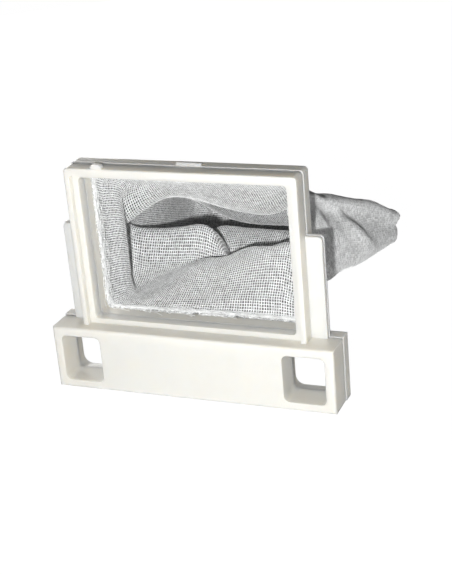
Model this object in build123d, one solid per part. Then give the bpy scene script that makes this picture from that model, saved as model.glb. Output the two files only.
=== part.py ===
"""Washing machine lint filter: two moulded half frames that clamp a net bag between them."""
import os
from math import cos, exp, hypot, pi, sin

from build123d import *

# All sizes are in millimetres. X runs across the frame, Y from front to back and Z up.
# The origin is the middle of the base's underside, where the filter stands.

# Base: the hollow bar that is gripped, with a finger window at each end
BASE_OVERHANG = 10.5
BASE_HEIGHT = 23.4
BASE_DEPTH = 16.8
FRONT_HALF_DEPTH = 11.0
SHELL_WALL = 1.8
BASE_TOP_WALL = 2.8
BASE_EDGE_ROUND = 0.9
FINGER_WINDOW_WIDTH = 15.2
FINGER_WINDOW_HEIGHT = 17.4
FINGER_WINDOW_END_MARGIN = 3.2
FINGER_WINDOW_ROUND = 2.0
FINGER_WINDOW_FLARE = 1.4
TUNNEL_WALL = 1.6
RIB_THICKNESS = 1.2
RIB_SHORTFALL = 1.0

# Frame: the upright window that holds the bag's mouth open
FRAME_WIDTH = 84.0
FRAME_TOP = 81.8
FRAME_CORNER_ROUND = 1.4
FRAME_EDGE_ROUND = 0.5
FRAME_SETBACK = 4.2
LIP_SETBACK = 6.4
RIM_WIDTH = 2.0
RIM_TOP_WIDTH = 2.6
SIDE_BAR = 4.2
TOP_BAR = 3.8
MOUTH_RAIL = 1.8
MOUTH_CORNER_ROUND = 1.5
REAR_EDGE_ROUND = 1.5

# Wings: the thin side rails that slide down the pocket's guides
WING_WIDTH = 5.7
WING_DROP = 22.0
WING_FRONT_THICKNESS = 1.5
WING_REAR_THICKNESS = 0.8
WING_CORNER_ROUND = 1.4

# Rear half: a little larger than the front half, so a fine step shows at the parting line
PARTING_STEP = 0.35
LATCH_NIB_OFFSET = 0.133
LATCH_NIB_LENGTH = 9.2
LATCH_NIB_HEIGHT = 1.0
LATCH_NIB_RAMP = 2.6
LATCH_NIB_FACE = 0.5

# Keying nub on the front half's top edge
NUB_OFFSET = -0.35
NUB_WIDTH = 4.2
NUB_HEIGHT = 1.5
NUB_DEPTH = 2.2
NUB_ROUND = 1.2

# Pegs on the rear half press into sockets in the front half
PEG_DIAMETER = 3.0
PEG_LENGTH = 6.0
PEG_SPACING = 44.0
PEG_CLEARANCE = 0.1
PEG_END_GAP = 0.6
BOSS_DIAMETER = 6.4

# Hem: the bag's edge lies flat between the halves and turns into a groove behind a tongue
CLOTH_THICKNESS = 0.3
HEM_CLEARANCE = 0.3
HEM_LAND = 1.2
TONGUE_THICKNESS = 0.6
GROOVE_DEPTH = 1.8
TONGUE_HEIGHT = 1.4
HEM_TURN = 1.3

# Bag: net cloth that sags behind the frame and closes at its sewn far end
BAG_LENGTH = 100.0
BAG_END_SWELL = 3.0
BAG_CLEARANCE = 0.45
BAG_NECK_REACH = 0.5
BAG_NECK_ROUND = 3.0
BAG_BODY_ROUND = 5.0
BAG_END_WALLS = 2
PANEL_STEPS = 14
SIDE_STEPS = 6
CORNER_STEPS = 3

# How the bag changes towards its far end, as shares of the mouth: it spreads, its floor first rises
# and then sags, and its roof drops
BAG_SPREAD = 0.2
FLOOR_RISE = 0.2
FLOOR_SAG = 0.36
ROOF_DROP = 0.86
ROOF_CURVE = 1.1

# Cross-sections along the bag, as shares of its length, and those that round its far end off, as
# shares of the end's swell and of its height
BODY_STATIONS = [
    0.1, 0.15, 0.2, 0.24, 0.277, 0.31, 0.345, 0.38, 0.42, 0.46, 0.51, 0.575, 0.63, 0.7, 0.78, 0.88, 0.95, 1.0
]
END_STATIONS = [(0.7, 0.85), (1.0, 0.6)]

# Soft folds, as shares of the mouth's half width or the panel's half height across, of the bag's
# length along and of the mouth's height in rise: place across, place along, slant, spread to the left
# and right, spread before and after the crest, flatness of the crest, and rise
FLOOR_FOLDS = [
    (0.68, 0.277, 0.0, 0.9, 0.36, 0.149, 0.06, 2, 0.36),
    (-0.6, 0.42, 0.0, 0.85, 0.45, 0.075, 0.06, 4, 0.3),
    (0.01, 0.35, -3.08, 0.17, 0.17, 0.045, 0.055, 2, 0.12),
    (0.18, 0.575, 0.0, 0.75, 0.6, 0.1, 0.05, 4, 0.245),
    (1.15, 0.66, 0.0, 0.4, 0.4, 0.16, 0.2, 2, -0.06),
    (1.2, 1.03, 0.0, 0.5, 0.4, 0.1, 0.1, 2, 0.03),
    (-0.25, 0.27, 0.0, 0.35, 0.2, 0.12, 0.05, 2, 0.06),
    (-1.0, 0.26, 0.0, 0.4, 0.4, 0.1, 0.06, 2, -0.06),
]
ROOF_FOLDS = [
    (0.35, 0.366, 0.0, 0.9, 0.45, 0.139, 0.08, 2, -0.2),
    (-1.1, 0.26, 0.0, 0.5, 0.4, 0.1, 0.07, 2, -0.3),
    (0.1, 0.76, 0.0, 0.85, 0.7, 0.13, 0.16, 4, -0.22),
    (1.2, 0.82, 0.0, 0.7, 0.5, 0.2, 0.12, 2, 0.045),
]
LEFT_FOLDS = [
    (0.0, 0.24, 0.0, 3.0, 3.0, 0.1, 0.05, 2, 0.035),
    (0.0, 0.43, 0.0, 3.0, 3.0, 0.13, 0.2, 2, -0.1),
]
RIGHT_FOLDS = [
    (0.05, 0.9, 0.0, 0.2, 0.2, 0.3, 0.3, 2, -0.04),
    (0.135, 0.585, -4.0, 0.3, 0.25, 0.16, 0.16, 2, 0.04),
    (0.55, 0.5, -0.4, 0.3, 0.25, 0.3, 0.3, 2, -0.05),
    (0.6, 1.02, 0.0, 0.4, 0.4, 0.12, 0.2, 2, 0.03),
]

# Levels that follow from the sizes above
FRONT_Y = -BASE_DEPTH / 2
REAR_Y = BASE_DEPTH / 2
PARTING_Y = FRONT_Y + FRONT_HALF_DEPTH
FRAME_FRONT_Y = FRONT_Y + FRAME_SETBACK
LIP_FRONT_Y = FRONT_Y + LIP_SETBACK
BASE_WIDTH = FRAME_WIDTH + 2 * BASE_OVERHANG
CAVITY_TOP = BASE_HEIGHT - BASE_TOP_WALL
MOUTH_WIDTH = FRAME_WIDTH - 2 * SIDE_BAR
MOUTH_BOTTOM = BASE_HEIGHT + MOUTH_RAIL
MOUTH_TOP = FRAME_TOP - TOP_BAR
WING_TOP = FRAME_TOP - WING_DROP
LATCH_NIB_PLACE = LATCH_NIB_OFFSET * FRAME_WIDTH
NUB_PLACE = NUB_OFFSET * FRAME_WIDTH
NECK_HALF_WIDTH = MOUTH_WIDTH / 2 - BAG_CLEARANCE
NECK_BOTTOM = MOUTH_BOTTOM + BAG_CLEARANCE
NECK_HEIGHT = MOUTH_TOP - MOUTH_BOTTOM - 2 * BAG_CLEARANCE
FINGER_WINDOW_X = BASE_WIDTH / 2 - FINGER_WINDOW_END_MARGIN - FINGER_WINDOW_WIDTH / 2
TUNNEL_INSIDE = FINGER_WINDOW_X - FINGER_WINDOW_WIDTH / 2 - TUNNEL_WALL
HEM_INNER = HEM_LAND + HEM_CLEARANCE
HEM_OUTER = HEM_INNER + CLOTH_THICKNESS
TONGUE_INNER = HEM_OUTER + HEM_CLEARANCE
TONGUE_OUTER = TONGUE_INNER + TONGUE_THICKNESS
GROOVE_OUTER = TONGUE_OUTER + HEM_CLEARANCE
PAST = 1.0


def upright(width, bottom, top, centre_x=0.0, radius=0.0):
    """A flat rectangle in the X-Z plane, standing between two heights."""
    height = top - bottom
    if radius > 0:
        flat = RectangleRounded(width, height, radius)
    else:
        flat = Rectangle(width, height)
    return Pos(centre_x, (bottom + top) / 2) * flat


def slab(profile, y_start, y_end):
    """An X-Z profile given depth from one Y to another."""
    return extrude(Plane.XZ.offset(-y_end) * profile, y_end - y_start)


def mouth_ring(inner, outer, y_start, y_end):
    """A band round the mouth, between two distances out from the mouth's edge."""
    outside = upright(
        MOUTH_WIDTH + 2 * outer, MOUTH_BOTTOM - outer, MOUTH_TOP + outer, 0, MOUTH_CORNER_ROUND + outer
    )
    inside = upright(
        MOUTH_WIDTH + 2 * inner, MOUTH_BOTTOM - inner, MOUTH_TOP + inner, 0, MOUTH_CORNER_ROUND + inner
    )
    return slab(outside - inside, y_start, y_end)


def mouth_cut(y_start, y_end):
    """The clear opening of the frame."""
    profile = upright(MOUTH_WIDTH, MOUTH_BOTTOM, MOUTH_TOP, 0, MOUTH_CORNER_ROUND)
    return slab(profile, y_start, y_end)


def frame_profile(step):
    """The upright frame's outline, with its foot sunk in the base and its top corners round."""
    outline = upright(FRAME_WIDTH + 2 * step, CAVITY_TOP, FRAME_TOP + step)
    top_corners = outline.vertices().group_by(Axis.Y)[-1]
    return fillet(top_corners, FRAME_CORNER_ROUND)


def wings(thickness_start, thickness_end, step):
    """Both side rails, each with a round outer top corner."""
    both = []
    for side in (-1, 1):
        inner = side * (FRAME_WIDTH / 2 - RIM_WIDTH / 2)
        outer = side * (FRAME_WIDTH / 2 + WING_WIDTH + step)
        width = abs(outer - inner)
        outline = upright(width, CAVITY_TOP, WING_TOP + step, (inner + outer) / 2)
        far_corner = outline.vertices().sort_by(Axis.X)[::side][-2:].sort_by(Axis.Y)[-1]
        both.append(slab(fillet(far_corner, WING_CORNER_ROUND), thickness_start, thickness_end))
    return both[0] + both[1]


def finger_window_profile(side, growth=0.0):
    """One finger window's outline, centred on the base's height."""
    middle = BASE_HEIGHT / 2
    half = FINGER_WINDOW_HEIGHT / 2 + growth
    return upright(
        FINGER_WINDOW_WIDTH + 2 * growth,
        middle - half,
        middle + half,
        side * FINGER_WINDOW_X,
        FINGER_WINDOW_ROUND + growth,
    )


def peg_places():
    """Middles of the two pegs, across and up."""
    return [(side * PEG_SPACING / 2, CAVITY_TOP / 2 + SHELL_WALL / 2) for side in (-1, 1)]


def post(place, diameter, y_start, y_end):
    """A round post along Y."""
    return slab(Pos(*place) * Circle(diameter / 2), y_start, y_end)


def front_frame():
    """Front half: base shell, stepped rim and lip round the mouth, wings and nub."""
    base = slab(upright(BASE_WIDTH, 0, BASE_HEIGHT), FRONT_Y, PARTING_Y)
    front_edges = base.faces().sort_by(Axis.Y)[0].edges()
    base = fillet(front_edges, BASE_EDGE_ROUND)
    cavity_floor_y = FRONT_Y + SHELL_WALL
    base -= slab(upright(2 * TUNNEL_INSIDE, SHELL_WALL, CAVITY_TOP), cavity_floor_y, PARTING_Y)
    for place in peg_places():
        base += post(place, BOSS_DIAMETER, cavity_floor_y, PARTING_Y)
        socket_depth = PEG_LENGTH + PEG_END_GAP
        base -= post(place, PEG_DIAMETER + 2 * PEG_CLEARANCE, PARTING_Y - socket_depth, PARTING_Y)
    rib = upright(RIB_THICKNESS, SHELL_WALL, CAVITY_TOP)
    base += slab(rib, cavity_floor_y, PARTING_Y - RIB_SHORTFALL)

    frame = slab(frame_profile(0), FRAME_FRONT_Y, PARTING_Y)
    frame = fillet(frame.faces().sort_by(Axis.Y)[0].edges(), FRAME_EDGE_ROUND)
    pocket = upright(FRAME_WIDTH - 2 * RIM_WIDTH, CAVITY_TOP, FRAME_TOP - RIM_TOP_WIDTH, 0, MOUTH_CORNER_ROUND)
    frame -= slab(pocket, FRAME_FRONT_Y, LIP_FRONT_Y)
    frame -= mouth_cut(FRAME_FRONT_Y, PARTING_Y)

    half = base + frame + wings(PARTING_Y - WING_FRONT_THICKNESS, PARTING_Y, 0) + keying_nub()
    half -= mouth_ring(HEM_LAND, GROOVE_OUTER, PARTING_Y - GROOVE_DEPTH, PARTING_Y)
    for side in (-1, 1):
        half -= slab(finger_window_profile(side), FRONT_Y, PARTING_Y)
    return half


def keying_nub():
    """The low round nub on the front half's top edge."""
    outline = upright(NUB_WIDTH, FRAME_TOP - NUB_HEIGHT, FRAME_TOP + NUB_HEIGHT, NUB_PLACE)
    outline = fillet(outline.vertices().group_by(Axis.Y)[-1], NUB_ROUND)
    return slab(outline, FRAME_FRONT_Y + FRAME_EDGE_ROUND / 2, FRAME_FRONT_Y + NUB_DEPTH)


def latch_nib():
    """The ramped nib on the rear half's top edge that snaps under the pocket's edge."""
    foot = FRAME_TOP + PARTING_STEP
    profile = Polygon(
        (PARTING_Y, foot - LATCH_NIB_HEIGHT),
        (PARTING_Y, foot),
        (PARTING_Y + LATCH_NIB_FACE, foot + LATCH_NIB_HEIGHT),
        (PARTING_Y + LATCH_NIB_RAMP, foot),
        (PARTING_Y + LATCH_NIB_RAMP, foot - LATCH_NIB_HEIGHT),
        align=None,
    )
    start = LATCH_NIB_PLACE - LATCH_NIB_LENGTH / 2
    return extrude(Plane.YZ.offset(start) * profile, LATCH_NIB_LENGTH)


def rear_frame():
    """Rear half: base tray with pegs, clamping frame with its tongue, wing backs and nib."""
    base = slab(upright(BASE_WIDTH + 2 * PARTING_STEP, 0, BASE_HEIGHT + PARTING_STEP), PARTING_Y, REAR_Y)
    back_edges = base.faces().sort_by(Axis.Y)[-1].edges().sort_by(Axis.Z)[1:]
    base = fillet(back_edges, REAR_EDGE_ROUND)
    cavity_half = TUNNEL_INSIDE - FINGER_WINDOW_FLARE
    cavity_floor_y = REAR_Y - SHELL_WALL
    base -= slab(upright(2 * cavity_half, SHELL_WALL, CAVITY_TOP), PARTING_Y, cavity_floor_y)
    for place in peg_places():
        base += post(place, BOSS_DIAMETER, PARTING_Y, cavity_floor_y)
        base += post(place, PEG_DIAMETER, PARTING_Y - PEG_LENGTH, PARTING_Y)

    frame = slab(frame_profile(PARTING_STEP), PARTING_Y, REAR_Y)
    back_edges = frame.faces().sort_by(Axis.Y)[-1].edges().sort_by(Axis.Z)[1:]
    frame = fillet(back_edges, REAR_EDGE_ROUND)

    half = base + frame + wings(PARTING_Y, PARTING_Y + WING_REAR_THICKNESS, PARTING_STEP) + latch_nib()
    half -= mouth_cut(PARTING_Y, REAR_Y)
    half -= mouth_ring(-PAST, TONGUE_INNER, PARTING_Y, PARTING_Y + CLOTH_THICKNESS)
    half += mouth_ring(TONGUE_INNER, TONGUE_OUTER, PARTING_Y - TONGUE_HEIGHT, PARTING_Y + CLOTH_THICKNESS)
    for side in (-1, 1):
        near = Plane.XZ.offset(-PARTING_Y) * finger_window_profile(side)
        far = Plane.XZ.offset(-REAR_Y) * finger_window_profile(side, FINGER_WINDOW_FLARE)
        half -= loft([near, far])
    return half


def fold_rise(folds, across, along):
    """How far the soft folds lift a point of a panel, as a share of the mouth's height."""
    total = 0.0
    for place, station, slant, left, right, before, after, flatness, rise in folds:
        ahead = along - station
        beside = across - place - slant * ahead
        width = left if beside < 0 else right
        reach = before if ahead < 0 else after
        total += rise * exp(-abs(beside / width) ** flatness - (ahead / reach) ** 2)
    return total


def rounded_box_points(half_width, low, high, radius):
    """Points round a rounded rectangle, from the floor's right end, up the right side and on round."""
    corners = [
        (half_width - radius, low + radius, -pi / 2),
        (half_width - radius, high - radius, 0.0),
        (radius - half_width, high - radius, pi / 2),
        (radius - half_width, low + radius, pi),
    ]
    counts = [SIDE_STEPS, PANEL_STEPS, SIDE_STEPS, PANEL_STEPS]
    points = []
    for index, (centre_x, centre_z, start) in enumerate(corners):
        for step in range(CORNER_STEPS + 1):
            turn = start + step * pi / 2 / CORNER_STEPS
            points.append((centre_x + radius * cos(turn), centre_z + radius * sin(turn)))
        x_from, z_from = points[-1]
        next_x, next_z, next_start = corners[(index + 1) % 4]
        x_to = next_x + radius * cos(next_start)
        z_to = next_z + radius * sin(next_start)
        for step in range(1, counts[index]):
            share = step / counts[index]
            points.append((x_from + share * (x_to - x_from), z_from + share * (z_to - z_from)))
    return points


def inset(points, distance):
    """The same closed run of points, moved square to itself towards its inside."""
    moved = []
    for index, (x, z) in enumerate(points):
        before = points[index - 1]
        after = points[(index + 1) % len(points)]
        run_x = after[0] - before[0]
        run_z = after[1] - before[1]
        length = hypot(run_x, run_z)
        moved.append((x - distance * run_z / length, z + distance * run_x / length))
    return moved


def folded_points(share, height_share=1.0):
    """One cross-section of the bag, with the folds that pass through it."""
    half_width = NECK_HALF_WIDTH * (1 + BAG_SPREAD * share)
    low = NECK_BOTTOM + NECK_HEIGHT * (FLOOR_RISE * share - FLOOR_SAG * share ** 2)
    high = NECK_BOTTOM + NECK_HEIGHT * (1 - ROOF_DROP * share ** ROOF_CURVE)
    middle = (low + high) / 2
    half_height = (high - low) / 2 * height_share
    radius = BAG_NECK_ROUND + BAG_BODY_ROUND * sin(pi * share)
    folded = []
    for x, z in rounded_box_points(half_width, middle - half_height, middle + half_height, radius):
        beside = x / NECK_HALF_WIDTH
        flank = x / half_width
        up = (z - middle) / half_height
        roof_lift = fold_rise(ROOF_FOLDS, beside, share) * (1 + up) / 2
        floor_lift = fold_rise(FLOOR_FOLDS, beside, share) * (1 - up) / 2
        push = fold_rise(RIGHT_FOLDS if flank > 0 else LEFT_FOLDS, up, share) * flank ** 4
        folded.append((x + push * NECK_HEIGHT, z + (roof_lift + floor_lift) * NECK_HEIGHT))
    return folded


def section(along, points):
    """A closed loop across the bag, at a distance behind the parting plane."""
    y = PARTING_Y + along
    return Face(Wire.make_polygon([(x, y, z) for x, z in points], close=True))


def mesh_bag():
    """Net bag: turned hem, straight neck through the rear half, and the sagging folded body."""
    neck = rounded_box_points(NECK_HALF_WIDTH, NECK_BOTTOM, NECK_BOTTOM + NECK_HEIGHT, BAG_NECK_ROUND)
    neck_end = REAR_Y - PARTING_Y + BAG_NECK_REACH
    body = [(share * BAG_LENGTH, folded_points(share)) for share in BODY_STATIONS]
    for swell_share, height_share in END_STATIONS:
        body.append((BAG_LENGTH + swell_share * BAG_END_SWELL, folded_points(1.0, height_share)))
    outer_runs = [(0, neck), (neck_end, neck)] + body
    end_along, end_points = body[-1]
    inner_end = (end_along - BAG_END_WALLS * CLOTH_THICKNESS, end_points)
    inner_runs = [(-PAST, neck), (neck_end, neck)] + body[:-1] + [inner_end]

    outside = loft([section(along, points) for along, points in outer_runs], ruled=True)
    inside = loft([section(along, inset(points, CLOTH_THICKNESS)) for along, points in inner_runs], ruled=True)
    hem = mouth_ring(-BAG_CLEARANCE - CLOTH_THICKNESS, HEM_OUTER, PARTING_Y, PARTING_Y + CLOTH_THICKNESS)
    turn = mouth_ring(HEM_INNER, HEM_OUTER, PARTING_Y - HEM_TURN, PARTING_Y + CLOTH_THICKNESS)
    return outside + hem + turn - inside


def main():
    """Write each piece as its own solid."""
    os.makedirs("parts", exist_ok=True)
    export_step(front_frame(), "parts/front_frame.step")
    export_step(rear_frame(), "parts/rear_frame.step")
    export_step(mesh_bag(), "parts/mesh_bag.step")


if __name__ == "__main__":
    main()
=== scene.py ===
"""Looks of the lint filter: satin moulded halves, a sewn net bag with its frayed hem, and a pale studio."""
import random
from math import cos, exp, pi, sin

import bpy
from mathutils import Matrix, Vector, noise


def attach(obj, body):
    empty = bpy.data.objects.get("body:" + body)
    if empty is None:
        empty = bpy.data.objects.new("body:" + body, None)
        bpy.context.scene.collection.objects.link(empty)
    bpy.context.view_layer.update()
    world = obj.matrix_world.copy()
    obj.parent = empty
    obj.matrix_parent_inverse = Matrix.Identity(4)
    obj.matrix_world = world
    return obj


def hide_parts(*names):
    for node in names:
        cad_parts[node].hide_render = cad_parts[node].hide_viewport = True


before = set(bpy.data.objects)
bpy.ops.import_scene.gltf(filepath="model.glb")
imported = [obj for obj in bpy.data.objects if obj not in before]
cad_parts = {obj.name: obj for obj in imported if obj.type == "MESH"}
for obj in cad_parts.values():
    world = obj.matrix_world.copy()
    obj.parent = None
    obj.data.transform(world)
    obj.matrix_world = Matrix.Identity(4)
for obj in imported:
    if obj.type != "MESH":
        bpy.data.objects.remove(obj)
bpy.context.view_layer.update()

bl_info = {
    "name": "Lint Filter",
    "version": (1, 0, 0),
    "blender": (4, 5, 0),
    "location": "3D View > Sidebar > Lint Filter",
    "description": "Finishes the lint filter's moulded halves, sews its net bag and sets a pale studio",
    "category": "Object",
}

MM = 0.001
BODY = "root"

# Soft folds, as shares of the mouth's half width or panel's half height across, of the bag's length along
# and of the mouth's height in rise: place across, place along, slant, spread to the left and right,
# spread before and after the crest, flatness of the crest, and rise
FLOOR_FOLDS = [
    (0.68, 0.277, 0.0, 0.9, 0.36, 0.149, 0.045, 2, 0.36),
    (-0.6, 0.42, 0.0, 0.85, 0.45, 0.075, 0.06, 4, 0.3),
    (0.01, 0.35, -3.08, 0.17, 0.09, 0.045, 0.055, 2, 0.12),
    (0.18, 0.575, 0.0, 0.75, 0.6, 0.14, 0.05, 4, 0.25),
    (1.15, 0.66, 0.0, 0.4, 0.4, 0.16, 0.2, 2, -0.06),
    (1.2, 1.03, 0.0, 0.5, 0.4, 0.1, 0.1, 2, 0.03),
    (-0.25, 0.27, 0.0, 0.35, 0.2, 0.12, 0.05, 2, 0.06),
    (-1.0, 0.26, 0.0, 0.4, 0.4, 0.1, 0.06, 2, -0.06),
    (0.19, 0.365, -3.08, 0.08, 0.14, 0.06, 0.1, 2, -0.27),
    (-0.45, 0.6, 0.0, 0.5, 0.24, 0.06, 0.2, 2, 0.08),
]
ROOF_FOLDS = [
    (0.35, 0.366, 0.0, 0.9, 0.45, 0.139, 0.08, 2, -0.2),
    (-1.1, 0.3, 0.0, 0.5, 0.4, 0.07, 0.07, 2, -0.3),
    (0.1, 0.76, 0.0, 0.85, 0.7, 0.13, 0.16, 4, -0.22),
    (1.2, 0.82, 0.0, 0.7, 0.5, 0.2, 0.12, 2, 0.045),
]
LEFT_FOLDS = [
    (0.0, 0.205, 0.0, 3.0, 3.0, 0.1, 0.028, 2, 0.08),
    (0.0, 0.43, 0.0, 3.0, 3.0, 0.13, 0.2, 2, -0.1),
]
RIGHT_FOLDS = [
    (0.05, 0.9, 0.0, 0.2, 0.2, 0.3, 0.3, 2, -0.025),
    (0.135, 0.585, -4.0, 0.3, 0.25, 0.16, 0.16, 2, 0.04),
    (0.55, 0.5, -0.4, 0.28, 0.22, 0.3, 0.3, 2, -0.09),
    (0.6, 1.02, 0.0, 0.4, 0.4, 0.12, 0.2, 2, 0.03),
]

# Rings of the bag, as shares of the mouth's width or height: how the bag widens towards its end, how its
# floor climbs and then drops, how far its roof falls and along what curve, and how quickly a side's folds
# fade away from that side
WIDENING = 0.2
FLOOR_CLIMB = 0.2
FLOOR_DROP = 0.36
ROOF_FALL = 0.86
ROOF_CURVE = 1.1
FLANK_HOLD = 4

# Rounding of a ring's corners: in millimetres at both ends of the bag, how much more halfway along it,
# and the most that it may be, as a share of the ring's height
CORNER = 3.0
CORNER_SWELL = 5.0
CORNER_MOST = 0.48

# How the cloth is laid out: rows of points to each cross thread, steps that survey its length, the last
# place along it (1 is the far end's edge and 2 its seam), and the share of the body by which it has left
# the neck
ROWS_PER_THREAD = 4
SURVEY_STEPS = 240
LAST_PLACE = 2
SETTLED = 0.1

# The sewn end: how much narrower its seam is, the share of its height left there, how tightly the seam is
# drawn in, and the rows before it over which the cross threads' relief fades out
END_NARROWING = 0.02
END_GAP = 0.02
END_TIGHTNESS = 4
THREAD_FADE = 12

# The hem: the middle of the clamped cloth behind the parting plane, where along the cloth it rolls and
# how widely, how uneven the roll is, how quickly that changes from column to column, and the least share
# of the roll, which is at the sides and the top
HEM_MIDDLE = 0.15 * MM
ROLL_PLACE = 5.0 * MM
ROLL_SPREAD = 1.5 * MM
ROLL_UNEVEN = 0.4
ROLL_CHANGE = 0.6
ROLL_LEAST = 0.3

# How cross threads stray along the bag: how quickly from column to column and from row to row, and by how
# many rows
WANDER_ACROSS = 0.35
WANDER_ALONG = 0.05
WANDER_ROWS = 0.9

# Loose fibres: the seed of their chances, how many points each has, and in millimetres how far behind the
# parting plane they start, how far they drift and shake at each point, and how far they stand in from the
# neck
FIBRE_SEED = 7
FIBRE_POINTS = (5, 12)
FIBRE_DEPTH = (2.2, 6.5)
FIBRE_DRIFT = 0.25
FIBRE_SHAKE = 0.2
FIBRE_LIFT = (0.3, 1.6)

# The form of a loose fibre: columns that it passes from point to point, its sides, the share of its
# standing in that it has at its ends, and how much more it has in its middle
FIBRE_STRIDE = 0.5
FIBRE_SIDES = 3
FIBRE_ENDS = 0.6
FIBRE_ARCH = 0.8

# Detail of the fine noises, and the middle of a noise or of a cell of the weave
FINE_DETAIL = 2.0
MIDDLE = 0.5

# Soft patches: detail, roughness and edges of their noise
MOTTLE_DETAIL = 4.0
MOTTLE_ROUGHNESS = 0.6
MOTTLE_EDGES = (0.38, 0.68)

# Plastic: scale and strength of the smudges, how much rougher they are, the moulded grain, and plain
# values of the shader
SMUDGE_SCALE = 55.0
SMUDGE_STRENGTH = 0.3
SMUDGE_ROUGHER = 0.12
GRAIN_SCALE = 2600.0
GRAIN_STRENGTH = 0.12
GRAIN_DEPTH = 0.06 * MM
PLASTIC_VALUES = {
    "IOR": 1.49,
    "Subsurface Weight": 0.8,
    "Subsurface Radius": (1.0, 0.9, 0.75),
    "Subsurface Scale": 6 * MM,
}

# The weave, as shares of the pitch: how far ribs and threads wander, with the noise that moves them, and
# where a rib, a thread and a rib's slope begin and end, from the hole's middle
RIB_WANDER = 0.9
THREAD_WANDER = 0.35
WANDER_SCALE = 300.0
WANDER_DETAIL = 3.0
WANDER_ROUGHNESS = 0.7
RIB_EDGE = (0.26, 0.32)
THREAD_EDGE = (0.31, 0.37)
RIB_SLOPE = (0.1, 0.5)

# The net's holes, painted near black as the shade seen through them: the chances at which one is partly
# closed and how far, how far it sits from its thread's far flank towards the valley and how far it is moved
# on the outside, both as shares of the pitch, how solid its painted shade is, and how far the nap on the
# bag's outside closes it
CLOSED_CHANCE = (0.75, 1.0)
CLOSED_MOST = 0.6
HOLE_SINK = 0.24
OUTSIDE_SHIFT = 0.5
HOLE_COVER = 0.78
OUTSIDE_NAP = 0.85

# The net's threads: the nap's scale and height, the bump's strength and depth, how dark a dull thread is
# beside the bright ones, the chances between which threads turn dull, so that the bright cells also stand
# in for the threads' glints as painted glints besides a random tone, the scale of patches and the least of
# that dullness they leave, roughness, and plain values of the shader
NAP_SCALE = 2200.0
NAP_HEIGHT = 1.3
NET_STRENGTH = 0.5
NET_DEPTH = 0.12 * MM
DULL_THREAD_BESIDE_GLINTS = 0.62
DULL_AND_GLINT_CHANCE = (0.3, 0.7)
PATCH_SCALE = 90.0
PATCH_LEAST = 0.85
NET_ROUGHNESS = (0.22, 0.5)
NET_VALUES = {
    "IOR": 1.6,
    "Sheen Weight": 1.0,
    "Sheen Roughness": 0.35,
    "Specular IOR Level": 1.0,
}

# The frayed edge behind the lip: the share of the hem band that is dense all through, how far single
# strands reach forward, where the net thins out, and the scale of the noise that parts the strands
HEM_DENSE = 0.5
FRAY_REACH = 3.0 * MM
FRAY_EDGE = (4.4 * MM, 5.4 * MM)
STRAND_SCALE = 700.0

# Colour of the loose fibres: scale and edges of its patches, how dark a dull fibre is, and roughness
FIBRE_SCALE = 900.0
FIBRE_EDGES = (0.4, 0.65)
FIBRE_DULL = 0.75
FIBRE_ROUGHNESS = 0.45

# Floor and room: the floor's width, how brightly it glows where it is seen directly and the share of that
# glow, where the backdrop begins and is full behind and ends above, and a count of net layers short of
# one
FLOOR_WIDTH = 6.0
FLOOR_GLOW = 1.06
FLOOR_GLOW_SHARE = 0.94
BACKDROP_BEHIND = (0.5, 0.9)
BACKDROP_ABOVE = (0.05, 0.3)
UNDER_ONE_LAYER = 0.5
WHITE = (1.0, 1.0, 1.0, 1.0)

# Lamps: width and place of each, and the point that they all shine at
KEY_LAMP = (0.014, (0.140, -0.382, 0.177))
FILL_LAMP = (0.3, (0.12, -0.55, 0.06))
WINDOW_LAMP = (0.4, (-0.5, 0.6, 0.05))
LAMP_AIM = Vector((0.0, 0.01, 0.045))

# Camera: sensor in millimetres, nearest distance that it sees, place, and the directions to its right, up
# and back
SENSOR_WIDTH = 36.0
CLIP_START = 0.01
CAMERA_PLACE = (0.18013, -0.38387, 0.21279)
CAMERA_RIGHT = (0.92670, 0.36647, -0.08319)
CAMERA_UP = (-0.06923, 0.38409, 0.92070)
CAMERA_BACK = (0.36936, -0.84746, 0.38131)

# A colour mix's inputs and output by number, because several share a name
MIX_FACTOR = 0
MIX_FIRST = 6
MIX_SECOND = 7
MIX_RESULT = 2


def length(label, words, millimetres):
    """A length setting whose default is given in millimetres."""
    return bpy.props.FloatProperty(
        name=label, description=words, default=millimetres * MM, unit="LENGTH", precision=5
    )


def power(label, words, watts):
    """A lamp's power setting."""
    return bpy.props.FloatProperty(name=label, description=words, default=watts, unit="POWER")


def plain(label, words, value):
    """A plain number setting."""
    return bpy.props.FloatProperty(name=label, description=words, default=value)


def whole_number(label, words, number):
    """A setting that counts something."""
    return bpy.props.IntProperty(name=label, description=words, default=number)


def colour(label, words, rgb):
    """A colour setting."""
    return bpy.props.FloatVectorProperty(
        name=label, description=words, default=rgb, size=3, min=0.0, max=1.0, subtype="COLOR"
    )


class LintFrameSettings(bpy.types.PropertyGroup):
    """Finish of the two moulded halves."""

    plastic: colour("Plastic", "Colour of the clean moulding", (0.73, 0.71, 0.655))
    smudged: colour("Smudged plastic", "Colour where hands have greyed the moulding", (0.67, 0.645, 0.59))
    roughness: plain("Roughness", "Roughness of the satin moulding", 0.36)


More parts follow.
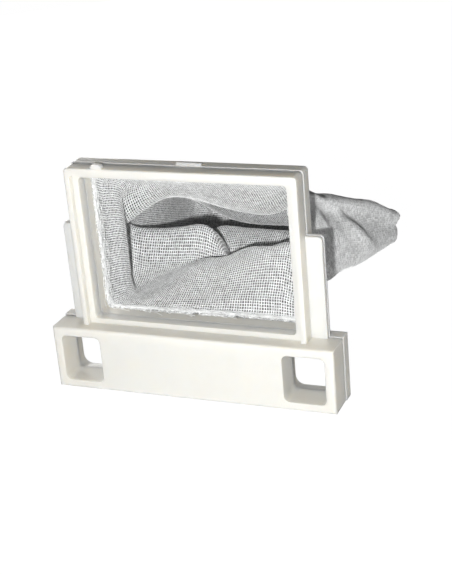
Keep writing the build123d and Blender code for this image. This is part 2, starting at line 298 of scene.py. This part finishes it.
class LintBagSettings(bpy.types.PropertyGroup):
    """Sizes and colours of the net bag."""

    mouth_width: length("Mouth width", "Clear width of the frame's mouth", 75.6)
    mouth_bottom: length("Mouth bottom", "Height of the mouth's lower edge", 25.2)
    mouth_top: length("Mouth top", "Height of the mouth's upper edge", 78.0)
    clearance: length("Clearance", "Gap between the cloth and the mouth's edge", 0.6)
    parting: length("Parting plane", "Where the hem is clamped, front to back", 2.6)
    neck: length("Neck", "Straight cloth that passes through the rear half", 6.3)
    body: length("Body length", "From the parting plane to the far end's edge", 100.0)
    end_bulge: length("End bulge", "How far the sewn end swells past its edge", 3.0)
    end_tuck: length("End tuck", "How far the end's seam is drawn in", 1.0)
    hem_reach: length("Hem reach", "Cloth clamped outside the mouth's edge", 1.6)
    hem_roll: length("Hem roll", "How far the rolled hem stands in from the neck", 1.0)
    hem_band: length("Hem band", "Dense white cloth behind the clamped edge", 8.5)
    fibre_radius: length("Fibre radius", "Half the thickness of a loose fibre", 0.1)
    rib_pitch: length("Rib pitch", "Distance between the ribs along the bag", 0.98)
    thread_pitch: length("Thread pitch", "Distance between the threads across the bag", 0.84)
    thread_rise: length("Thread rise", "How far a thread stands out on each face", 0.115)
    thread_colour: colour("Thread", "Colour of the net's nylon thread", (0.96, 0.97, 0.97))
    # Painted shade: the gap colour is near black in the net's holes, standing in for the shaded inside seen
    # through them.
    gap_shade_colour: colour("Gap", "Colour in the net's gaps", (0.012, 0.013, 0.014))
    columns: whole_number("Columns", "Points round the bag, an even number", 140)
    fibres: whole_number("Loose fibres", "Fibres that stray from the hem", 320)


class LintStageSettings(bpy.types.PropertyGroup):
    """Studio, lamps and camera."""

    lens: plain("Lens", "Focal length on a 36 mm sensor", 83.42)
    key_power: power("Key lamp", "Power of the small lamp by the camera", 2.3)
    fill_power: power("Fill lamp", "Power of the low lamp in front", 0.04)
    window_power: power("Window", "Power of the wide soft light behind on the left", 3.0)
    sky: plain("Room light", "Strength of the even light from all round", 0.015)
    backdrop: plain("Backdrop light", "Strength of the light from the white backdrop low behind", 0.7)
    floor: colour("Floor", "Colour of the pale floor", (0.92, 0.92, 0.92))


def deselect_all():
    """Leaves object mode with nothing selected."""
    if bpy.context.object and bpy.context.object.mode != "OBJECT":
        bpy.ops.object.mode_set(mode="OBJECT")
    bpy.ops.object.select_all(action="DESELECT")


def pick(piece):
    """Makes one object the only selected and active one."""
    deselect_all()
    piece.select_set(True)
    bpy.context.view_layer.objects.active = piece


def place_new(name, data):
    """A new object for a mesh, a lamp or a camera, in the scene."""
    piece = bpy.data.objects.new(name, data)
    bpy.context.collection.objects.link(piece)
    return piece


def face_out_and_smooth(piece):
    """Points the faces outwards and smooths the shading."""
    pick(piece)
    bpy.ops.object.mode_set(mode="EDIT")
    bpy.ops.mesh.select_all(action="SELECT")
    bpy.ops.mesh.normals_make_consistent(inside=False)
    bpy.ops.object.mode_set(mode="OBJECT")
    bpy.ops.object.shade_smooth()


def set_values(node, values):
    """Sets plain values on a node's own inputs."""
    for name, value in values.items():
        node.inputs[name].default_value = value


class NodeSheet:
    """A small helper that adds and links nodes in one tree."""

    def __init__(self, tree):
        self.tree = tree

    def give(self, socket, value):
        """Links another socket to an input, or sets the input to a plain value."""
        if isinstance(value, bpy.types.NodeSocket):
            self.tree.links.new(value, socket)
        else:
            socket.default_value = value

    def add(self, kind, settings=None, **inputs):
        """A node with settings and inputs given, an input by its name or, as n0 or n1, by its number."""
        node = self.tree.nodes.new(kind)
        for key, value in (settings or {}).items():
            setattr(node, key, value)
        for key, value in inputs.items():
            numbered = key[0] == "n" and key[1:].isdigit()
            self.give(node.inputs[int(key[1:]) if numbered else key.replace("_", " ")], value)
        return node

    def maths(self, operation, first, second=0.0, third=0.0):
        """The result of a maths node."""
        node = self.add("ShaderNodeMath", {"operation": operation}, n0=first, n1=second, n2=third)
        return node.outputs[0]

    def vector_maths(self, operation, first, second):
        """The result of a vector maths node."""
        node = self.add("ShaderNodeVectorMath", {"operation": operation}, n0=first, n1=second)
        return node.outputs[0]

    def blend(self, factor, first, second):
        """A mix of two colours."""
        node = self.add("ShaderNodeMix", {"data_type": "RGBA"})
        for index, value in ((MIX_FACTOR, factor), (MIX_FIRST, first), (MIX_SECOND, second)):
            self.give(node.inputs[index], value)
        return node.outputs[MIX_RESULT]

    def spread(self, value, low, high, to_low=0.0, to_high=1.0):
        """A value eased from one range to another."""
        node = self.add("ShaderNodeMapRange", {"interpolation_type": "SMOOTHSTEP"}, Value=value)
        set_values(node, {"From Min": low, "From Max": high, "To Min": to_low, "To Max": to_high})
        return node.outputs["Result"]

    def ease(self, value, to_low, to_high):
        """A value from 0 to 1, eased to another range."""
        return self.spread(value, 0.0, 1.0, to_low, to_high)

    def end(self, shader, output):
        """Links a shader to the surface of the tree's output."""
        self.tree.links.new(shader.outputs[0], output.inputs["Surface"])


def opaque(rgb):
    """A colour with full alpha."""
    return (rgb[0], rgb[1], rgb[2], 1.0)


def darker(rgb, share):
    """A share of a colour, with full alpha."""
    return opaque([share * part for part in rgb])


def new_material(name):
    """An empty material, the helper for its nodes, and its output."""
    material = bpy.data.materials.new(name)
    material.use_nodes = True
    material.node_tree.nodes.clear()
    sheet = NodeSheet(material.node_tree)
    output = sheet.add("ShaderNodeOutputMaterial")
    return material, sheet, output


def mottle_group():
    """Soft uneven patches, built once and used on the plastic and on the cloth."""
    made = bpy.data.node_groups.get("Soft mottle")
    if made:
        return made
    group = bpy.data.node_groups.new("Soft mottle", "ShaderNodeTree")
    group.interface.new_socket("Vector", in_out="INPUT", socket_type="NodeSocketVector")
    group.interface.new_socket("Scale", in_out="INPUT", socket_type="NodeSocketFloat")
    group.interface.new_socket("Patches", in_out="OUTPUT", socket_type="NodeSocketFloat")
    sheet = NodeSheet(group)
    inlet = sheet.add("NodeGroupInput")
    outlet = sheet.add("NodeGroupOutput")
    cloud = sheet.add(
        "ShaderNodeTexNoise",
        Vector=inlet.outputs["Vector"],
        Scale=inlet.outputs["Scale"],
        Detail=MOTTLE_DETAIL,
        Roughness=MOTTLE_ROUGHNESS,
    )
    group.links.new(sheet.spread(cloud.outputs["Fac"], *MOTTLE_EDGES), outlet.inputs["Patches"])
    return group


def wandering_place(sheet, place, settings):
    """Cloth coordinates that stray a little, so that no rib or thread is quite straight."""
    wander = sheet.add(
        "ShaderNodeTexNoise",
        Vector=place,
        Scale=WANDER_SCALE,
        Detail=WANDER_DETAIL,
        Roughness=WANDER_ROUGHNESS,
    )
    shift = sheet.vector_maths("SUBTRACT", wander.outputs["Color"], (MIDDLE, MIDDLE, MIDDLE))
    reach = (RIB_WANDER * settings.rib_pitch, THREAD_WANDER * settings.thread_pitch, 0.0)
    return sheet.vector_maths("ADD", place, sheet.vector_maths("MULTIPLY", shift, reach))


def net_group(settings):
    """The net's weave on a UV map in metres: ribs along the bag, threads across it and the holes between."""
    group = bpy.data.node_groups.new("Net weave", "ShaderNodeTree")
    group.interface.new_socket("Vector", in_out="INPUT", socket_type="NodeSocketVector")
    for name in ("Thread", "Height", "Glint"):
        group.interface.new_socket(name, in_out="OUTPUT", socket_type="NodeSocketFloat")
    sheet = NodeSheet(group)
    place = sheet.add("NodeGroupInput").outputs["Vector"]
    outlet = sheet.add("NodeGroupOutput")
    axes = sheet.add("ShaderNodeSeparateXYZ", Vector=wandering_place(sheet, place, settings))
    cells = []
    offsets = []
    for axis, spacing in (("X", settings.rib_pitch), ("Y", settings.thread_pitch)):
        turns = sheet.maths("DIVIDE", axes.outputs[axis], spacing)
        cells.append(sheet.maths("FLOOR", turns))
        offsets.append(sheet.maths("ABSOLUTE", sheet.maths("SUBTRACT", sheet.maths("FRACT", turns), MIDDLE)))
    cell = sheet.add("ShaderNodeCombineXYZ", X=cells[0], Y=cells[1])
    glint = sheet.add("ShaderNodeTexWhiteNoise", Vector=cell.outputs[0]).outputs["Value"]
    beside = sheet.spread(offsets[0], *RIB_EDGE)
    ahead = sheet.spread(offsets[1], *THREAD_EDGE)
    closed = sheet.spread(glint, *CLOSED_CHANCE, 0.0, CLOSED_MOST)
    thread = sheet.maths("MAXIMUM", sheet.maths("MAXIMUM", beside, ahead), closed)
    nap = sheet.add("ShaderNodeTexNoise", Vector=place, Scale=NAP_SCALE, Detail=FINE_DETAIL)
    rib = sheet.spread(offsets[0], *RIB_SLOPE)
    height = sheet.maths("ADD", rib, sheet.maths("MULTIPLY", nap.outputs["Fac"], NAP_HEIGHT))
    for name, value in (("Thread", thread), ("Height", height), ("Glint", glint)):
        group.links.new(value, outlet.inputs[name])
    return group


def plastic_material(settings, mottle):
    """Satin off-white moulding with faint handling marks and a fine moulded grain."""
    material, sheet, output = new_material("satin_moulding")
    place = sheet.add("ShaderNodeTexCoord").outputs["Object"]
    smudge = sheet.add("ShaderNodeGroup", {"node_tree": mottle}, Vector=place, Scale=SMUDGE_SCALE)
    patches = smudge.outputs["Patches"]
    faint = sheet.maths("MULTIPLY", patches, SMUDGE_STRENGTH)
    tone = sheet.blend(faint, opaque(settings.plastic), opaque(settings.smudged))
    rough = sheet.ease(patches, settings.roughness, settings.roughness + SMUDGE_ROUGHER)
    grain = sheet.add("ShaderNodeTexNoise", Vector=place, Scale=GRAIN_SCALE, Detail=FINE_DETAIL)
    bump = sheet.add(
        "ShaderNodeBump", Strength=GRAIN_STRENGTH, Distance=GRAIN_DEPTH, Height=grain.outputs["Fac"]
    )
    shader = sheet.add(
        "ShaderNodeBsdfPrincipled", Base_Color=tone, Roughness=rough, Normal=bump.outputs["Normal"]
    )
    set_values(shader, PLASTIC_VALUES)
    sheet.end(shader, output)
    return material


def faced_place(sheet, place, outside, pitch):
    """Cloth coordinates moved along the bag, so that holes lie in the valleys of the face that is seen."""
    moved = sheet.maths("MULTIPLY_ADD", outside, OUTSIDE_SHIFT * pitch, -HOLE_SINK * pitch)
    step = sheet.add("ShaderNodeCombineXYZ", Y=moved)
    return sheet.vector_maths("ADD", place, step.outputs[0])


def hem_masks(sheet, place, settings):
    """Where the cloth is a dense hem, and where it is whole behind its ragged edge."""
    along = sheet.add("ShaderNodeSeparateXYZ", Vector=place).outputs["Y"]
    hem = sheet.spread(along, settings.hem_band * HEM_DENSE, settings.hem_band, 1.0, 0.0)
    strand = sheet.add("ShaderNodeTexNoise", Vector=place, Scale=STRAND_SCALE, Detail=FINE_DETAIL)
    ragged = sheet.maths("MULTIPLY_ADD", strand.outputs["Fac"], FRAY_REACH, along)
    return hem, sheet.spread(ragged, *FRAY_EDGE)


def thread_tone(sheet, settings, glint, patches, hem):
    """The thread's colour: bright or dull from cell to cell, a random tone whose bright cells also stand in
    for the threads' glints as painted glints, and bright all over the hem.
    """
    # Painted glints: threads bright or dull at random from cell to cell, the bright cells also standing in
    # for the threads' sparkle.
    uneven = sheet.maths("MULTIPLY", sheet.spread(glint, *DULL_AND_GLINT_CHANCE), sheet.ease(patches, PATCH_LEAST, 1.0))
    dullness = sheet.maths("MULTIPLY", uneven, sheet.maths("SUBTRACT", 1.0, hem))
    return sheet.blend(dullness, opaque(settings.thread_colour), darker(settings.thread_colour, DULL_THREAD_BESIDE_GLINTS))


def net_material(settings, weave, mottle):
    """Sheer nylon net: pale glossy threads over see-through holes painted near black as the shade seen
    through them, and a dense white frayed hem.
    """
    material, sheet, output = new_material("nylon_net")
    place = sheet.add("ShaderNodeUVMap", {"uv_map": "cloth"}).outputs["UV"]
    inside = sheet.add("ShaderNodeNewGeometry").outputs["Backfacing"]
    outside = sheet.maths("SUBTRACT", 1.0, inside)
    faced = faced_place(sheet, place, outside, settings.thread_pitch)
    net = sheet.add("ShaderNodeGroup", {"node_tree": weave}, Vector=faced)
    greying = sheet.add("ShaderNodeGroup", {"node_tree": mottle}, Vector=place, Scale=PATCH_SCALE)
    hem, unfrayed = hem_masks(sheet, place, settings)
    napped = sheet.maths("MAXIMUM", hem, sheet.maths("MULTIPLY", outside, OUTSIDE_NAP))
    solid = sheet.maths("MAXIMUM", net.outputs["Thread"], napped)
    thread = thread_tone(sheet, settings, net.outputs["Glint"], greying.outputs["Patches"], hem)
    # Painted shade: the holes take the near-black gap colour, mostly solid, for the shade seen through them.
    tone = sheet.blend(solid, opaque(settings.gap_shade_colour), thread)
    cover = sheet.maths("MULTIPLY", unfrayed, sheet.ease(solid, HOLE_COVER, 1.0))
    rough = sheet.ease(net.outputs["Glint"], *NET_ROUGHNESS)
    bump = sheet.add(
        "ShaderNodeBump", Strength=NET_STRENGTH, Distance=NET_DEPTH, Height=net.outputs["Height"]
    )
    shader = sheet.add(
        "ShaderNodeBsdfPrincipled",
        Base_Color=tone,
        Alpha=cover,
        Roughness=rough,
        Normal=bump.outputs["Normal"],
    )
    set_values(shader, NET_VALUES)
    sheet.end(shader, output)
    return material


def fibre_material(settings):
    """White loose nylon, a little uneven from fibre to fibre."""
    material, sheet, output = new_material("loose_fibre")
    place = sheet.add("ShaderNodeTexCoord").outputs["Object"]
    cloud = sheet.add("ShaderNodeTexNoise", Vector=place, Scale=FIBRE_SCALE, Detail=FINE_DETAIL)
    dullness = sheet.spread(cloud.outputs["Fac"], *FIBRE_EDGES)
    tone = sheet.blend(dullness, opaque(settings.thread_colour), darker(settings.thread_colour, FIBRE_DULL))
    shader = sheet.add("ShaderNodeBsdfPrincipled", Base_Color=tone, Roughness=FIBRE_ROUGHNESS)
    sheet.end(shader, output)
    return material


def fold_rise(folds, across, along):
    """How far the soft folds lift a point of a panel, as a share of the mouth's height."""
    total = 0.0
    for place, station, slant, left, right, before, after, flatness, rise in folds:
        ahead = along - station
        beside = across - place - slant * ahead
        width = left if beside < 0 else right
        reach = before if ahead < 0 else after
        total += rise * exp(-abs(beside / width) ** flatness - (ahead / reach) ** 2)
    return total


def ring_walk(half_width, low, high, radius, columns):
    """Evenly spaced points round a rounded rectangle, from the left side's middle and downwards."""
    middle = (low + high) / 2
    across = 2 * (half_width - radius)
    upright = high - low - 2 * radius
    turn = radius * pi / 2
    runs = [
        (upright / 2, (-half_width, middle), (0, -1), None),
        (turn, (radius - half_width, low + radius), None, pi),
        (across, (radius - half_width, low), (1, 0), None),
        (turn, (half_width - radius, low + radius), None, 1.5 * pi),
        (upright, (half_width, low + radius), (0, 1), None),
        (turn, (half_width - radius, high - radius), None, 0.0),
        (across, (half_width - radius, high), (-1, 0), None),
        (turn, (radius - half_width, high - radius), None, 0.5 * pi),
        (upright / 2, (-half_width, high - radius), (0, -1), None),
    ]
    around = sum(run[0] for run in runs)
    points = []
    index = 0
    passed = 0.0
    for column in range(columns):
        distance = column / columns * around
        while index < len(runs) - 1 and distance > passed + runs[index][0]:
            passed += runs[index][0]
            index += 1
        start, heading, bearing = runs[index][1:]
        reach = distance - passed
        if heading:
            points.append((start[0] + heading[0] * reach, start[1] + heading[1] * reach))
        else:
            angle = bearing + reach / radius
            points.append((start[0] + radius * cos(angle), start[1] + radius * sin(angle)))
    return points


def bag_ring(settings, share, squeeze=1.0):
    """One ring of the bag's body, in millimetres, with the folds that pass through it."""
    mouth_half = (settings.mouth_width / 2 - settings.clearance) / MM
    bottom = (settings.mouth_bottom + settings.clearance) / MM
    opening = (settings.mouth_top - settings.mouth_bottom - 2 * settings.clearance) / MM
    half_width = mouth_half * (1 + WIDENING * share)
    low = bottom + opening * (FLOOR_CLIMB * share - FLOOR_DROP * share**2)
    high = bottom + opening * (1 - ROOF_FALL * share**ROOF_CURVE)
    middle = (low + high) / 2
    half_height = high - middle
    low = middle - half_height * squeeze
    high = middle + half_height * squeeze
    radius = min(CORNER + CORNER_SWELL * sin(pi * share), CORNER_MOST * (high - low))
    ring = []
    for x, z in ring_walk(half_width, low, high, radius, settings.columns):
        beside = x / mouth_half
        flank = x / half_width
        up = (z - middle) / half_height
        roof_lift = fold_rise(ROOF_FOLDS, beside, share) * (1 + up) / 2
        floor_lift = fold_rise(FLOOR_FOLDS, beside, share) * (1 - up) / 2
        side_folds = RIGHT_FOLDS if flank > 0 else LEFT_FOLDS
        push = fold_rise(side_folds, up / squeeze, share) * flank**FLANK_HOLD
        ring.append((x + push * opening, z + (roof_lift + floor_lift) * opening))
    return ring


def between(first, second, share):
    """Points part of the way from one ring to another."""
    return [
        (x + share * (far_x - x), z + share * (far_z - z)) for (x, z), (far_x, far_z) in zip(first, second)
    ]


def ring_at(settings, place):
    """Depth and points of one ring, in millimetres: places past 1 are on the sewn end."""
    share = min(place, 1.0)
    neck_share = settings.neck / settings.body
    if share <= neck_share:
        ring = bag_ring(settings, 0.0)
    elif share < SETTLED:
        way = (share - neck_share) / (SETTLED - neck_share)
        ring = between(bag_ring(settings, 0.0), bag_ring(settings, SETTLED), way)
    else:
        angle = max(place - 1.0, 0.0) * pi / 2
        drawn_in = 1 - END_NARROWING * sin(angle)
        ring = [(x * drawn_in, z) for x, z in bag_ring(settings, share, max(cos(angle), END_GAP))]
    depth = (settings.parting + share * settings.body) / MM
    if place > 1.0:
        tuck = settings.end_tuck / MM * sin(angle) ** END_TIGHTNESS
        depth += settings.end_bulge / MM * sin(2 * angle) - tuck
    return depth, ring


def ring_step(first, second):
    """How far apart two rings are along the cloth, on average."""
    steps = [
        Vector((x - old_x, second[0] - first[0], z - old_z)).length
        for (old_x, old_z), (x, z) in zip(first[1], second[1])
    ]
    return sum(steps) / len(steps)


def cloth_rows(settings):
    """Rings evenly spaced along the cloth, a few to each cross thread, from the neck to the sewn end."""
    places = [LAST_PLACE * step / SURVEY_STEPS for step in range(SURVEY_STEPS + 1)]
    survey = [ring_at(settings, place) for place in places]
    travelled = [0.0]
    for first, second in zip(survey, survey[1:]):
        travelled.append(travelled[-1] + ring_step(first, second))
    rows = ROWS_PER_THREAD * round(travelled[-1] * MM / settings.thread_pitch)
    rings = []
    index = 0
    for row in range(rows + 1):
        distance = travelled[-1] * row / rows
        while index < SURVEY_STEPS - 1 and travelled[index + 1] < distance:
            index += 1
        way = (distance - travelled[index]) / (travelled[index + 1] - travelled[index])
        rings.append(ring_at(settings, places[index] + way * (places[index + 1] - places[index])))
    return rings


def hem_rings(settings):
    """The flat edge of the cloth that the halves clamp, from outside inwards."""
    depth = (settings.parting + HEM_MIDDLE) / MM
    rings = []
    for reach in (settings.hem_reach / MM, settings.hem_reach / 2 / MM):
        wide = settings.mouth_width / 2 / MM + reach
        low = settings.mouth_bottom / MM - reach
        high = settings.mouth_top / MM + reach
        rings.append((depth, ring_walk(wide, low, high, CORNER + reach, settings.columns)))
    return rings


def wandered(rows, columns):
    """The cloth's points with each cross thread straying a little to and fro along the bag."""
    turn = 2 * pi / columns
    reach = columns * WANDER_ACROSS / (2 * pi)
    points = []
    for row, (depth, ring) in enumerate(rows):
        for column, (x, z) in enumerate(ring):
            spot = Vector((reach * cos(column * turn), reach * sin(column * turn), row * WANDER_ALONG))
            stray = WANDER_ROWS * noise.noise(spot)
            other_depth, other_ring = rows[min(max(row + (1 if stray > 0 else -1), 0), len(rows) - 1)]
            other_x, other_z = other_ring[column]
            way = abs(stray)
            moved = (x + way * (other_x - x), depth + way * (other_depth - depth), z + way * (other_z - z))
            points.append(Vector(moved) * MM)
    return points


def row_faces(rows, columns):
    """The quads between neighbouring rows of points."""
    faces = []
    for near in range(0, (rows - 1) * columns, columns):
        far = near + columns
        for column in range(columns):
            following = (column + 1) % columns
            faces.append((near + column, near + following, far + following, far + column))
    return faces


def end_seam(first, columns):
    """The faces that sew the last ring's lower and upper edges together."""
    half = columns // 2
    faces = [(first, first + 1, first + columns - 1), (first + half - 1, first + half, first + half + 1)]
    for column in range(1, half - 1):
        other = first + columns - column
        faces.append((first + column, first + column + 1, other - 1, other))
    return faces


def lay_cloth_map(mesh, hem_rows, settings):
    """Lays a UV map in metres: whole ribs round the mouth, and along the cloth from the neck's first row."""
    columns = settings.columns
    ribs = round(2 * (settings.mouth_width + settings.mouth_top - settings.mouth_bottom) / settings.rib_pitch)
    row_length = settings.thread_pitch / ROWS_PER_THREAD
    layer = mesh.uv_layers.new(name="cloth")
    for polygon in mesh.polygons:
        row, column = divmod(polygon.index, columns)
        corners = ((column, row), (column + 1, row), (column + 1, row + 1), (column, row + 1))
        for loop, (u, v) in zip(polygon.loop_indices, corners):
            layer.data[loop].uv = (u / columns * ribs * settings.rib_pitch, (v - hem_rows) * row_length)


def raise_threads(mesh, hem_rows, row_count, settings):
    """Raises every cross thread as a low ridge, and the hem behind the mouth as an uneven roll."""
    normals = [vertex.normal.copy() for vertex in mesh.vertices]
    for index, normal in enumerate(normals):
        row = index // settings.columns - hem_rows
        if row < 0:
            continue
        rows_left = row_count - hem_rows - 1 - row
        fade = min(1.0, row / ROWS_PER_THREAD, rows_left / THREAD_FADE)
        rise = settings.thread_rise * fade * sin(2 * pi * row / ROWS_PER_THREAD)
        along = row * settings.thread_pitch / ROWS_PER_THREAD
        uneven = 1 + ROLL_UNEVEN * noise.noise(Vector((index % settings.columns * ROLL_CHANGE, 0, 0)))
        slack = ROLL_LEAST + (1 - ROLL_LEAST) * max(normal.z, 0.0)
        roll = settings.hem_roll * slack * uneven * exp(-(((along - ROLL_PLACE) / ROLL_SPREAD) ** 2))
        mesh.vertices[index].co += normal * (rise + roll)


def cloth_mesh(settings):
    """A sheet from the clamped edge to the sewn end, with a UV map in metres along the cloth."""
    columns = settings.columns
    hem = hem_rings(settings)
    rows = cloth_rows(settings)
    points = [Vector((x, depth, z)) * MM for depth, ring in hem for x, z in ring]
    points += wandered(rows, columns)
    row_count = len(hem) + len(rows)
    faces = row_faces(row_count, columns) + end_seam((row_count - 1) * columns, columns)
    mesh = bpy.data.meshes.new("net_bag")
    mesh.from_pydata(points, [], faces)
    lay_cloth_map(mesh, len(hem), settings)
    raise_threads(mesh, len(hem), row_count, settings)
    return mesh


def edge_point(edge, column):
    """A point of the mouth's edge, in metres, at a place between two columns."""
    x, z = edge[int(column) % len(edge)]
    far_x, far_z = edge[(int(column) + 1) % len(edge)]
    way = column - int(column)
    return Vector(((x + way * (far_x - x)) * MM, 0, (z + way * (far_z - z)) * MM))


def fibre_path(settings, edge, chance):
    """The way of one loose fibre along the mouth's edge: its points, each with the direction inwards."""
    middle = Vector((0, 0, (settings.mouth_bottom + settings.mouth_top) / 2))
    start = chance.uniform(0, settings.columns)
    steps = chance.randint(*FIBRE_POINTS)
    depth = settings.parting + chance.uniform(*FIBRE_DEPTH) * MM
    drift = chance.uniform(-FIBRE_DRIFT, FIBRE_DRIFT) * MM
    lift = chance.uniform(*FIBRE_LIFT) * MM
    path = []
    for step in range(steps):
        spot = edge_point(edge, start + step * FIBRE_STRIDE)
        inwards = (middle - spot).normalized()
        depth += drift + chance.uniform(-FIBRE_SHAKE, FIBRE_SHAKE) * MM
        arch = FIBRE_ENDS + FIBRE_ARCH * sin(pi * step / (steps - 1))
        path.append((Vector((spot.x, depth, spot.z)) + inwards * (lift * arch), inwards))
    return path


def add_fibre(path, radius, points, faces):
    """Adds a thin closed tube along a fibre's way to lists of points and faces."""
    first = len(points)
    for centre, inwards in path:
        for side in range(FIBRE_SIDES):
            angle = side * 2 * pi / FIBRE_SIDES
            offset = inwards * cos(angle) + Vector((0, sin(angle), 0))
            points.append(centre + offset * radius)
    last = len(points) - FIBRE_SIDES
    for near in range(first, last, FIBRE_SIDES):
        far = near + FIBRE_SIDES
        for side in range(FIBRE_SIDES):
            after = (side + 1) % FIBRE_SIDES
            faces.append((near + side, near + after, far + after, far + side))
    faces.append([first + side for side in reversed(range(FIBRE_SIDES))])
    faces.append([last + side for side in range(FIBRE_SIDES)])


def fray_mesh(settings):
    """Loose fibres along the cloth's frayed edge behind the lip, each a thin three-sided thread."""
    chance = random.Random(FIBRE_SEED)
    edge = bag_ring(settings, 0.0)
    points = []
    faces = []
    for _ in range(settings.fibres):
        add_fibre(fibre_path(settings, edge, chance), settings.fibre_radius, points, faces)
    mesh = bpy.data.meshes.new("frayed_hem")
    mesh.from_pydata(points, [], faces)
    return mesh


def seen_directly(sheet):
    """One where the eye looks straight at a surface, and not through the net."""
    path = sheet.add("ShaderNodeLightPath")
    clear = sheet.maths("LESS_THAN", path.outputs["Transparent Depth"], UNDER_ONE_LAYER)
    return sheet.maths("MULTIPLY", path.outputs["Is Camera Ray"], clear)


def lay_floor(settings):
    """A wide pale floor that shows nearly white and keeps a faint shadow."""
    deselect_all()
    bpy.ops.mesh.primitive_plane_add(size=FLOOR_WIDTH, location=(0, 0, 0))
    floor = bpy.context.object
    floor.name = "floor"
    material, sheet, output = new_material("pale_floor")
    matt = sheet.add("ShaderNodeBsdfDiffuse", Color=opaque(settings.floor))
    bright = sheet.add("ShaderNodeEmission", Strength=FLOOR_GLOW)
    share = sheet.maths("MULTIPLY", seen_directly(sheet), FLOOR_GLOW_SHARE)
    sheet.end(sheet.add("ShaderNodeMixShader", Fac=share, n1=matt.outputs[0], n2=bright.outputs[0]), output)
    floor.data.materials.append(material)


def light_room(settings):
    """Even light from all round, a backdrop low behind, and a white room where it is seen directly."""
    world = bpy.data.worlds.new("white_room")
    bpy.context.scene.world = world
    world.use_nodes = True
    world.node_tree.nodes.clear()
    sheet = NodeSheet(world.node_tree)
    output = sheet.add("ShaderNodeOutputWorld")
    heading = sheet.add("ShaderNodeSeparateXYZ", Vector=sheet.add("ShaderNodeTexCoord").outputs["Generated"])
    behind = sheet.spread(heading.outputs["Y"], *BACKDROP_BEHIND)
    low = sheet.spread(heading.outputs["Z"], *BACKDROP_ABOVE, 1.0, 0.0)
    backdrop = sheet.maths("MULTIPLY", sheet.maths("MULTIPLY", behind, low), settings.backdrop)
    light = sheet.maths("ADD", backdrop, settings.sky)
    soft = sheet.add("ShaderNodeBackground", Color=WHITE, Strength=light)
    white = sheet.add("ShaderNodeBackground", Color=WHITE, Strength=1.0)
    direct = seen_directly(sheet)
    sheet.end(sheet.add("ShaderNodeMixShader", Fac=direct, n1=soft.outputs[0], n2=white.outputs[0]), output)


def hang_lamp(name, watts, size, place):
    """A round lamp that shines at the middle of the filter."""
    lamp = bpy.data.lights.new(name, "AREA")
    lamp.shape = "DISK"
    lamp.size = size
    lamp.energy = watts
    holder = place_new(name, lamp)
    holder.location = place
    holder.rotation_euler = (LAMP_AIM - holder.location).to_track_quat("-Z", "Y").to_euler()


def hang_lamps(settings):
    """A small lamp by the camera like a flash, the light a pale table throws back, and a window behind."""
    hang_lamp("key_lamp", settings.key_power, *KEY_LAMP)
    hang_lamp("fill_lamp", settings.fill_power, *FILL_LAMP)
    hang_lamp("window_lamp", settings.window_power, *WINDOW_LAMP)


def set_camera(settings):
    """The camera, at the photograph's place, angle and slight lean."""
    camera = bpy.data.cameras.new("camera")
    camera.sensor_width = SENSOR_WIDTH
    camera.lens = settings.lens
    camera.clip_start = CLIP_START
    holder = place_new("camera", camera)
    turn = Matrix((CAMERA_RIGHT, CAMERA_UP, CAMERA_BACK)).transposed().to_4x4()
    holder.matrix_world = Matrix.Translation(CAMERA_PLACE) @ turn
    bpy.context.scene.camera = holder


class LINT_OT_finish_frames(bpy.types.Operator):
    """Give both moulded halves their satin plastic"""

    bl_idname = "lint.finish_frames"
    bl_label = "Finish Frames"

    def execute(self, context):
        material = plastic_material(context.scene.lint_frame, mottle_group())
        for name in ("front_frame", "rear_frame"):
            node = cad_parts[name]
            node.data.materials.clear()
            node.data.materials.append(material)
        return {"FINISHED"}


class LINT_OT_sew_bag(bpy.types.Operator):
    """Shape the net bag from its clamped hem to its sewn end"""

    bl_idname = "lint.sew_bag"
    bl_label = "Sew Bag"

    def execute(self, context):
        settings = context.scene.lint_bag
        bag = place_new("net_bag", cloth_mesh(settings))
        face_out_and_smooth(bag)
        bag.data.materials.append(net_material(settings, net_group(settings), mottle_group()))
        fray = place_new("frayed_hem", fray_mesh(settings))
        face_out_and_smooth(fray)
        fray.data.materials.append(fibre_material(settings))
        for piece in (bag, fray):
            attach(piece, BODY)
        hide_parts("mesh_bag")
        return {"FINISHED"}


class LINT_OT_set_stage(bpy.types.Operator):
    """Lay the pale floor and set the lamps and the camera"""

    bl_idname = "lint.set_stage"
    bl_label = "Set Stage"

    def execute(self, context):
        settings = context.scene.lint_stage
        lay_floor(settings)
        light_room(settings)
        hang_lamps(settings)
        set_camera(settings)
        context.scene.view_settings.view_transform = "Standard"
        return {"FINISHED"}


class LINT_PT_panel(bpy.types.Panel):
    """Lists the steps in the sidebar"""

    bl_idname = "LINT_PT_panel"
    bl_label = "Lint Filter"
    bl_space_type = "VIEW_3D"
    bl_region_type = "UI"
    bl_category = "Lint Filter"

    def draw(self, context):
        for step in STEPS:
            self.layout.operator(step.bl_idname)


STEPS = (LINT_OT_finish_frames, LINT_OT_sew_bag, LINT_OT_set_stage)
SETTINGS = (
    ("lint_frame", LintFrameSettings),
    ("lint_bag", LintBagSettings),
    ("lint_stage", LintStageSettings),
)


def register():
    """Make the settings, steps and panel known to Blender."""
    for name, group in SETTINGS:
        bpy.utils.register_class(group)
        setattr(bpy.types.Scene, name, bpy.props.PointerProperty(type=group))
    for step in STEPS:
        bpy.utils.register_class(step)
    bpy.utils.register_class(LINT_PT_panel)


def unregister():
    """Take the panel, steps and settings out again."""
    bpy.utils.unregister_class(LINT_PT_panel)
    for step in reversed(STEPS):
        bpy.utils.unregister_class(step)
    for name, group in reversed(SETTINGS):
        delattr(bpy.types.Scene, name)
        bpy.utils.unregister_class(group)


def main():
    """Run each step in order."""
    register()
    bpy.ops.lint.finish_frames()
    bpy.ops.lint.sew_bag()
    bpy.ops.lint.set_stage()


if __name__ == "__main__":
    main()
